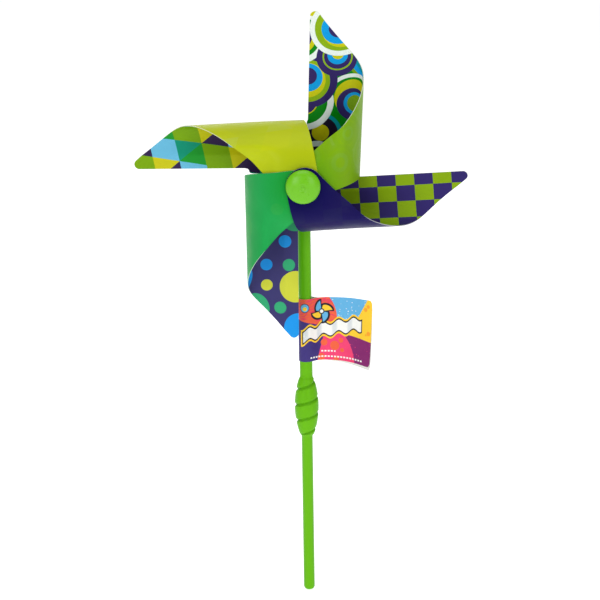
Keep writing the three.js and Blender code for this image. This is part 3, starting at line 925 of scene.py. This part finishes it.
def cap_profile(back, front, radius):
    """The front cap: a thin dome with a small nub outside and a socket for the pin inside."""
    top = front - CAP_NUB_HEIGHT
    dome = top - back - CAP_SKIRT
    inner = radius - CAP_WALL
    bore_end = top - CAP_BORE_COVER

    def quarter(width, height, low, high, steps):
        angles = [low + (high - low) * i / steps for i in range(steps + 1)]
        return [(width * math.cos(a), back + CAP_SKIRT + height * math.sin(a)) for a in angles]

    nub_foot = math.acos((CAP_NUB_RADIUS + CAP_NUB_MARGIN) / radius)
    socket_top = math.acos(CAP_SOCKET_RADIUS / inner)
    profile = [
        (0, bore_end),
        (BORE_RADIUS, bore_end),
        (BORE_RADIUS, back + CAP_INNER_ROUND),
        (BORE_RADIUS + CAP_INNER_ROUND, back),
        (CAP_SOCKET_RADIUS - CAP_INNER_ROUND, back),
        (CAP_SOCKET_RADIUS, back + CAP_INNER_ROUND),
        *quarter(inner, dome - CAP_WALL, socket_top, 0, CAP_INNER_STEPS),
        (inner, back + CAP_INNER_RISE),
        (inner + CAP_INNER_ROUND, back),
        (radius - CAP_RIM_ROUND, back),
        (radius, back + CAP_RIM_ROUND),
    ]
    for r, height in quarter(radius, dome, 0, nub_foot, CAP_DOME_STEPS):
        sunk = CAP_DIMPLE_DEPTH * (1 - smoothstep(r, CAP_DIMPLE_FLAT, CAP_DIMPLE_EDGE))
        profile.append((r, height - sunk))
    return profile + [
        (CAP_NUB_RADIUS + CAP_NUB_DRAFT, top + CAP_NUB_ROUND),
        (CAP_NUB_RADIUS, front - CAP_NUB_ROUND),
        (CAP_NUB_RADIUS - CAP_NUB_CROWN, front),
        (0, front),
    ]


def plain_outline(inner, outer, back, front):
    """A ring's outline, or a pin's if it has no inner radius."""
    return [(inner, back), (outer, back), (outer, front), (inner, front)]


def axle_span(node):
    """The radius of a CAD node on the axle, and how far forward its back and its front are."""
    low, high = node_box(node)
    return high.x, -high.y, -low.y


def make_cap(material):
    radius, back, front = axle_span("front_cap")
    profile = cap_profile(back, front, radius)
    on_axle("domed_cap", "front_cap", profile, 128, material)


def make_rear_cap(material):
    """A flat-backed button with a blind bore."""
    radius, back, front = axle_span("rear_cap")
    bore_end = back + REAR_CAP_WALL
    corners = plain_outline(0, radius, back, front)[:3]
    corners += [(BORE_RADIUS, front), (BORE_RADIUS, bore_end), (0, bore_end)]
    profile = soften(corners, REAR_CAP_ROUND, 6, closed=False)
    on_axle("rear_button", "rear_cap", profile, 96, material)


def make_axle(green, white):
    """The pin, and the rings on it."""
    profile = soften(plain_outline(0, *axle_span("axle_pin")), PIN_ROUND, 4, closed=False)
    on_axle("axle", "axle_pin", profile, 48, green)
    for node, material, slot in (
        ("thrust_washer", white, "washer_plastic"),
        ("rear_flange", green, "stick_plastic"),
        ("hub_spacer", green, "stick_plastic"),
        ("tip_washer", white, "washer_plastic"),
    ):
        profile = soften(plain_outline(BORE_RADIUS, *axle_span(node)), RING_ROUND, 3)
        on_axle(node + "_piece", node, profile, 72, material, closed=True)


# ======== stick

ROD_RADIUS = 4.55
LOWER_ROD_RADIUS = 3.95
END_FLAT_RADIUS = 1.2
BOSS_RADIUS = 6.5
BOSS_HALF_LENGTH = 7.0
GRIP_BOTTOM = 120.5
GRIP_TOP = 163.3
GRIP_END_RADIUS = 4.9
GRIP_SWELL = 3.75
GRIP_SHAPE = 0.75
GROOVE_PITCH = 11.8
GROOVE_START = 125.2  # the groove passes the stick's right side at this height
GROOVE_DEPTH = 1.25
GROOVE_WIDTH = 3.6
GROOVE_SHAPE = 1.3
GROOVE_FADE = 0.04
# how strongly the painted shade darkens the grip's groove
GROOVE_SHADE = 0.5
GRIP_LEAD_IN = 1.6  # the lower rod starts to widen this far under the grip ...
GRIP_SHOULDER = 0.9  # ... and is this near to it ...
GRIP_SHOULDER_RISE = 0.3  # ... when it is this much wider
GRIP_LEAD_OUT = 1.0
GRIP_STEPS = 190
ROD_STEPS = 40
END_STEPS = 12
BOSS_ROUND = 0.7
BORE_HALF_LENGTH = 20.0
PARTING_LINE = 0.07  # the height and the width of the mould's parting line
PARTING_WIDTH = 0.22
STICK_SEGMENTS = 120


def along_grip(height):
    """0 at the grip's bottom and 1 at its top."""
    return (height - GRIP_BOTTOM) / (GRIP_TOP - GRIP_BOTTOM)


def grip_radius(height):
    return GRIP_END_RADIUS + GRIP_SWELL * max(math.sin(math.pi * along_grip(height)), 0) ** GRIP_SHAPE


def groove_depth(height, angle):
    """A single groove winds up the grip, right-handed, and fades out at both ends."""
    turns = (height - GROOVE_START) / GROOVE_PITCH - angle / (2 * math.pi)
    off = abs(turns - round(turns)) * GROOVE_PITCH
    share = max(1 - off / (GROOVE_WIDTH / 2), 0)
    along = along_grip(height)
    fade = smoothstep(min(along, 1 - along), 0, GROOVE_FADE)
    return GROOVE_DEPTH * fade * share ** GROOVE_SHAPE


def painted_groove_shade(paint):
    """Painted shade: the grip's groove is painted a little darker, standing in for the shade in its
    depth.
    """
    x = paint.axis("X")
    y = paint.axis("Y")
    height = paint.axis("Z") * (1 / MM)
    turns = (height - GROOVE_START) * (1 / GROOVE_PITCH) - y.math("ARCTAN2", x) * (1 / (2 * math.pi))
    off = (turns - turns.math("ROUND")).math("ABSOLUTE") * GROOVE_PITCH
    on_grip = height.above(GRIP_BOTTOM, 1) * height.below(GRIP_TOP, 1)
    groove_shade_mask = off.below(GROOVE_WIDTH / 4, GROOVE_WIDTH / 2) * on_grip
    # painted shade: darker green coated along the groove's middle
    paint.coat(groove_shade_mask * GROOVE_SHADE, GROOVE_SHADE_GREEN)
    return paint


def stick_profile():
    """(radius, height) up the stick, without its grooves."""
    width = LOWER_ROD_RADIUS - END_FLAT_RADIUS
    profile = [(0, 0), (END_FLAT_RADIUS, 0)]
    for step in range(1, END_STEPS + 1):
        angle = step / END_STEPS * math.pi / 2
        profile.append((END_FLAT_RADIUS + width * math.sin(angle), width * (1 - math.cos(angle))))
    profile.append((LOWER_ROD_RADIUS, GRIP_BOTTOM - GRIP_LEAD_IN))
    profile.append((LOWER_ROD_RADIUS + GRIP_SHOULDER_RISE, GRIP_BOTTOM - GRIP_SHOULDER))
    for step in range(GRIP_STEPS + 1):
        height = GRIP_BOTTOM + (GRIP_TOP - GRIP_BOTTOM) * step / GRIP_STEPS
        profile.append((grip_radius(height), height))
    rod_bottom = GRIP_TOP + GRIP_LEAD_OUT
    for step in range(ROD_STEPS + 1):
        profile.append((ROD_RADIUS, rod_bottom + (hub_height - rod_bottom) * step / ROD_STEPS))
    profile.append((0, hub_height))
    return profile


def boolean(piece, other, operation):
    """Joins or cuts the piece's mesh with another mesh, for good."""
    tool = link("tool", other)
    modifier = piece.modifiers.new("join", "BOOLEAN")
    modifier.operation = operation
    modifier.solver = "EXACT"
    modifier.object = tool
    depsgraph = bpy.context.evaluated_depsgraph_get()
    mesh = bpy.data.meshes.new_from_object(piece.evaluated_get(depsgraph))
    piece.modifiers.clear()
    piece.data = mesh
    bpy.data.objects.remove(tool)


def block(name, radius, half_length, segments, rounding=0.0):
    """A turned block across the stick at the hub's height, to join to it or to cut from it."""
    profile = plain_outline(0, radius, -half_length, half_length)
    if rounding:
        profile = soften(profile, rounding, 5, closed=False)
    return raised_to_hub(turned(name, profile, segments, forward=True))


def make_stick(material):
    """One moulding: the rods, the grooved grip, and the bored boss at the head."""
    mesh = turned("stick", stick_profile(), STICK_SEGMENTS)
    for vert in mesh.vertices:
        x, y, z = vert.co
        radius = math.hypot(x, y)
        if radius < END_FLAT_RADIUS + 0.1:
            continue
        change = PARTING_LINE * math.exp(-((y / PARTING_WIDTH) ** 2))
        if GRIP_BOTTOM < z < GRIP_TOP:
            change -= groove_depth(z, math.atan2(y, x))
        vert.co = (x * (1 + change / radius), y * (1 + change / radius), z)
    piece = link("moulded_stick", mesh)
    boolean(piece, block("boss", BOSS_RADIUS, BOSS_HALF_LENGTH, STICK_SEGMENTS, BOSS_ROUND), "UNION")
    boolean(piece, block("bore", BORE_RADIUS, BORE_HALF_LENGTH, 48), "DIFFERENCE")
    in_metres(piece.data)
    piece.data.materials.append(material)
    stand_for(piece, "stick", "stick")


# ======== flag label

LABEL_UV = "label"
LABEL_CURL = [(4.9, 0.0), (16.0, 1.6), (32.0, -1.4), (48.0, -11.0)]
LABEL_PAPER = 0.16
LABEL_WRAP = 5.05  # radius of the paper's middle round the stick
LABEL_TOUCH = math.radians(72)  # the paper leaves the stick this far round from its right side
LABEL_JOIN = 12.0  # the layers meet this far from the stick's axis
LABEL_CORNER = 2.5
LABEL_BEND = 11.0  # how far forward the free lower corner bends ...
LABEL_BEND_SIDEWAYS = 0.25  # ... and the share of that by which it moves towards the stick
LABEL_BEND_START = 5.2
LABEL_BEND_SHAPE = 1.5
BACK_BEND = 0.86  # the back layer bends a little less ...
BACK_DROP = 3.0  # ... and is folded a little low
LAYER_GAP = 0.1
FLAG_STEPS = 60
JOIN_STEPS = 12
JOIN_PULL = 4.0
WRAP_STEPS = 40
LABEL_ROWS = 40


def spline(points, share):
    """A smooth curve through points (Catmull-Rom), share from 0 to 1 over the whole curve."""
    points = [Vector(point) for point in points]
    ends = [2 * points[0] - points[1], *points, 2 * points[-1] - points[-2]]
    along = share * (len(points) - 1)
    i = min(int(along), len(points) - 2)
    t = along - i
    a, b, c, d = ends[i:i + 4]
    bend = (2 * a - 5 * b + 4 * c - d) * t * t
    twist = (3 * b - a - 3 * c + d) * t ** 3
    return 0.5 * (2 * b + (c - a) * t + bend + twist)


def flag_path(side):
    """One layer from the free end in to the stick, seen from above. side is -1 in front, 1 behind."""
    outer = [spline(LABEL_CURL, 1 - step / FLAG_STEPS) for step in range(FLAG_STEPS + 1)]
    outer = [point for point in outer if point.x > LABEL_JOIN]
    path = []
    for i, point in enumerate(outer):
        along = (outer[min(i + 1, len(outer) - 1)] - outer[max(i - 1, 0)]).normalized()
        across = Vector((along.y, -along.x)) * side
        path.append(point + across * (LABEL_PAPER / 2 + LAYER_GAP / 2))
    start = path[-1]
    inward = (path[-1] - path[-2]).normalized()
    end = LABEL_WRAP * Vector((math.cos(LABEL_TOUCH), side * math.sin(LABEL_TOUCH)))
    along_end = Vector((math.sin(LABEL_TOUCH), -side * math.cos(LABEL_TOUCH)))
    pulls = (start, start + inward * JOIN_PULL, end + along_end * JOIN_PULL, end)
    path += [bezier(pulls, step / JOIN_STEPS) for step in range(1, JOIN_STEPS + 1)]
    return path


def label_path():
    """The strip's middle: the front layer in from its free end, the wrap, and the back layer out."""
    wrap = arc((0, 0), LABEL_WRAP, -LABEL_TOUCH, LABEL_TOUCH - 2 * math.pi, WRAP_STEPS)[1:-1]
    return flag_path(-1), [Vector(point) for point in wrap], flag_path(1)[::-1]


def corner_trim(inward):
    """What a free end's rounded corners take off the height, this far in from it."""
    if inward >= LABEL_CORNER:
        return 0.0
    return LABEL_CORNER - math.sqrt(LABEL_CORNER ** 2 - (LABEL_CORNER - inward) ** 2)


def label_bend(x, share, behind):
    """How far the bend moves a point of the label, at a share of its height, and the back's drop."""
    out = max(x - LABEL_BEND_START, 0) / (LABEL_CURL[-1][0] - LABEL_BEND_START)
    bend = LABEL_BEND * out ** 2 * (1 - share) ** LABEL_BEND_SHAPE * (BACK_BEND if behind else 1)
    drop = BACK_DROP * out if behind else 0
    return Vector((-LABEL_BEND_SIDEWAYS * bend, -bend, -drop))


def label_mesh():
    """The folded strip of paper: its outside, its inside and its cut rim."""
    low, high = node_box("flag_label")
    height = high.z - low.z
    front, wrap, back = label_path()
    path = front + wrap + back
    last = len(path) - 1
    lengths = [0.0]
    for a, b in zip(path, path[1:]):
        lengths.append(lengths[-1] + (b - a).length)
    stick_front = lengths[len(front) - 1] + LABEL_WRAP * (math.pi / 2 - LABEL_TOUCH)
    bm = bmesh.new()
    uv = bm.loops.layers.uv.new(LABEL_UV)
    flat_place = {}

    def layer(offset):
        """A grid of corners to one side of the paper's middle."""
        grid = []
        for i, point in enumerate(path):
            along = (path[min(i + 1, last)] - path[max(i - 1, 0)]).normalized()
            flat = point + Vector((-along.y, along.x)) * offset
            trim = corner_trim(min(lengths[i], lengths[-1] - lengths[i]))
            behind = i >= len(front) + len(wrap)
            column = []
            for j in range(LABEL_ROWS + 1):
                z = trim + (height - 2 * trim) * j / LABEL_ROWS
                place = Vector((flat.x, flat.y, low.z + z)) + label_bend(point.x, z / height, behind)
                column.append(bm.verts.new(place * MM))
                flat_place[column[-1]] = (stick_front - lengths[i], z)
            grid.append(column)
        return grid

    def add(corners, slot):
        sheet_face(bm, uv, corners, [flat_place[corner] for corner in corners], slot)

    outer = layer(LABEL_PAPER / 2)
    inner = layer(-LABEL_PAPER / 2)
    for i in range(last):
        for j in range(LABEL_ROWS):
            add([outer[i][j], outer[i][j + 1], outer[i + 1][j + 1], outer[i + 1][j]], OUTER_SIDE)
            add([inner[i][j], inner[i + 1][j], inner[i + 1][j + 1], inner[i][j + 1]], INNER_SIDE)
    rim = [(i, 0) for i in range(last)] + [(last, j) for j in range(LABEL_ROWS)]
    rim += [(i, LABEL_ROWS) for i in range(last, 0, -1)] + [(0, j) for j in range(LABEL_ROWS, 0, -1)]
    for (i, j), (k, m) in zip(rim, rim[1:] + rim[:1]):
        add([outer[i][j], outer[k][m], inner[k][m], inner[i][j]], CUT_EDGE)
    bmesh.ops.recalc_face_normals(bm, faces=bm.faces[:])
    sharpen_rims(bm)
    return finished(bm, "flag_label")


# ---- what is printed on the label; x runs from the stick's front towards the free end, y up ----

LABEL_NAVY = linear(58, 46, 118)
LABEL_ORANGE = linear(238, 98, 62)
LABEL_ROSE = linear(232, 66, 92)
LABEL_SKY = linear(100, 178, 226)
LABEL_YELLOW = linear(252, 206, 52)
LABEL_AMBER = linear(248, 162, 48)
LABEL_PINK = linear(240, 66, 116)
LABEL_VIOLET = linear(132, 38, 108)
LABEL_INK = linear(24, 26, 44)
LABEL_WHITE = linear(244, 244, 240)
LABEL_INSIDE = linear(235, 235, 230)
LABEL_EDGE = linear(238, 238, 234)


def specks(paint, size, share):
    """Small scattered dots: 1 inside them. size is how far apart they are."""
    node = paint.node("TexVoronoi", {"Vector": paint.place, "Scale": 1 / size})
    return Field(paint.tree, node.outputs["Distance"]).below(share, 0.05)


MILL_LEAN = 0.55  # how far a blade's reach falls off from its leading edge to its trailing edge
MILL_BLUR = 0.03


def windmill(paint, x, y, radius, near, far):
    """A four-bladed toy windmill with an ink outline and blades in two colours."""
    across = paint.axis("X") - x
    up = paint.axis("Y") - y
    turn = up.math("ARCTAN2", across) * (2 / math.pi)
    blade = turn.fraction()
    out = paint.distance(x, y) * (1 / radius)
    edge = out + blade * MILL_LEAN
    paint.coat(edge.below(1.22, MILL_BLUR) * out.below(1.12, MILL_BLUR), LABEL_INK)
    colour = paint.mixed(turn.floor().remainder(2), near, far)
    inside = edge.below(1.02, MILL_BLUR) * blade.above(0.08, 0.04) * blade.below(0.86, 0.04)
    paint.coat(inside * out.above(0.2, 0.05), colour)
    paint.coat(out.below(0.26, 0.05), LABEL_INK)
    paint.coat(out.below(0.16, 0.05), LABEL_WHITE)


RIBBON_RISE = 0.2
RIBBON_START = 19.5
RIBBON_WAVE = 1.5
RIBBON_TURN = 0.55
RIBBON_LEFT = -1.8
RIBBON_RIGHT = 43.8
RIBBON_HALF_WIDTH = 3.8
RIBBON_BLUR = 0.15
RIBBON_SHADE = linear(150, 170, 190)
# the streamer and its outlines, the outermost first: how much wider and longer each is at each side
RIBBON_COATS = [(2.4, 1.9, LABEL_YELLOW), (1.1, 0.8, LABEL_INK), (0.0, 0.0, LABEL_WHITE)]


def ribbon(paint):
    """A white paper streamer across the middle, outlined in ink and then in yellow."""
    x = paint.axis("X")
    wave = (x * RIBBON_TURN).math("SINE") * RIBBON_WAVE
    off_middle = (paint.axis("Y") - RIBBON_START - x * RIBBON_RISE - wave).math("ABSOLUTE")
    for wider, longer, colour in RIBBON_COATS:
        between_ends = x.below(RIBBON_RIGHT + longer, 0.2) * x.above(RIBBON_LEFT - longer, 0.2)
        paper = off_middle.below(RIBBON_HALF_WIDTH + wider, RIBBON_BLUR) * between_ends
        paint.coat(paper, colour)
    fold = (x * RIBBON_TURN).math("COSINE").above(0.55, 0.7)
    paint.coat(paper * fold * 0.35, RIBBON_SHADE)


def label_print(paint):
    """Patches of colour with wavy lines, stars and dots, a streamer and a toy windmill."""
    x = paint.axis("X")
    y = paint.axis("Y")
    slanting = y + x * 0.3
    upper = slanting.above(29.6)
    lower = slanting.below(29.6)
    # top middle: sky with stars
    sky = paint.mixed(specks(paint, 2.0, 0.16), LABEL_SKY, LABEL_WHITE)
    paint.coat(upper * x.above(10), sky)
    # upper left: orange with wavy lines
    bands = paint.noise(0.1, detail=1, distortion=0.6, stretch=(0.5, 2.2, 1)) * 44
    wavy = paint.mixed(bands.math("SINE").above(0.4, 0.9), LABEL_ORANGE, LABEL_ROSE)
    paint.coat(upper * paint.distance(0, 31).below(24.6), wavy)
    # bottom middle: pink with dots, and violet with stars beyond it
    paint.coat(lower * (x - y * 0.28).above(9.6), LABEL_PINK)
    for dot_x, dot_y, radius in (
        (15, 13, 2.5), (22.9, 10.8, 3.4), (27.5, 14.9, 1.8),
        (28.5, 7.8, 1.5), (12.8, 2.2, 2.8), (24, 1, 2),
    ):
        spot(paint, dot_x, dot_y, radius, LABEL_ORANGE)
    violet = paint.mixed(specks(paint, 2.4, 0.14), LABEL_VIOLET, LABEL_PINK)
    beyond = paint.distance(6, -4).above(33)
    paint.coat(beyond * y.below(24) * x.above(20), violet)
    # right: yellow with blobs
    blobs = paint.mixed(specks(paint, 5.5, 0.3), LABEL_YELLOW, LABEL_AMBER)
    right = (x - y * 0.57).above(22.2) * (y + x * 0.12).above(23.3)
    paint.coat(right * x.above(28), blobs)
    # small badge, streamer and windmill
    spot(paint, -0.4, 40, 3.4, LABEL_INK)
    spot(paint, -0.4, 40, 2.9, LABEL_SKY)
    spot(paint, -0.4, 39.4, 1.5, LABEL_YELLOW)
    ribbon(paint)
    windmill(paint, 13.4, 36.2, 8.2, LABEL_YELLOW, LABEL_SKY)
    # two rows of small marks
    for row, start, end in ((6.6, 12.5, 23.5), (2.6, 3.5, 46.0)):
        dashes = (x * 0.42 + row).fraction().below(0.62, 0.06)
        strip = (y - row).math("ABSOLUTE").below(0.55, 0.15)
        paint.coat(dashes * strip * x.above(start, 0.1) * x.below(end, 0.1), LABEL_WHITE)


def label_material():
    """Coated printed paper, with a faint mottle and a soft gloss."""
    paint = Paint("label_print", LABEL_NAVY, LABEL_UV)
    label_print(paint)
    paint.shade(0.93, 1.04, paint.noise(0.35, detail=4))
    paint.roughness(0.35, 0.55, paint.noise(1.2, detail=3))
    paint.relief(paint.noise(0.12, detail=1) + paint.noise(7.0, detail=1) * 0.01, 0.0006)
    return paint.done(specular=0.2)


def make_label():
    """The label's paper is printed outside and white inside and at its edge."""
    piece = link("flag_label_paper", label_mesh())
    inside = Paint("label_inside", LABEL_INSIDE, LABEL_UV)
    inside.shade(0.95, 1.02, inside.noise(1.5, detail=4))
    inside.roughness(0.55, 0.75, inside.noise(3))
    edge = Paint("label_edge", LABEL_EDGE, LABEL_UV)
    edge.shade(0.9, 1.02, edge.noise(2.5, detail=4))
    for material in (label_material(), inside.done(), edge.done()):
        piece.data.materials.append(material)
    stand_for(piece, "flag_label", "stick")


# ======== the whole

make_camera()
make_studio()
make_floor()
make_blades()
stick_green = moulded(Paint("stick_green", STICK_GREEN))
# the grip's green, with painted shade along its groove
groove_shaded_green = moulded(painted_groove_shade(Paint("groove_shaded_green", STICK_GREEN)))
cap_green = moulded(Paint("cap_green", CAP_GREEN), roughness=(0.24, 0.34), specular=0.32)
washer_white = moulded(Paint("washer_white", WASHER_WHITE))
make_cap(cap_green)
make_rear_cap(cap_green)
make_axle(stick_green, washer_white)
make_stick(groove_shaded_green)
make_label()
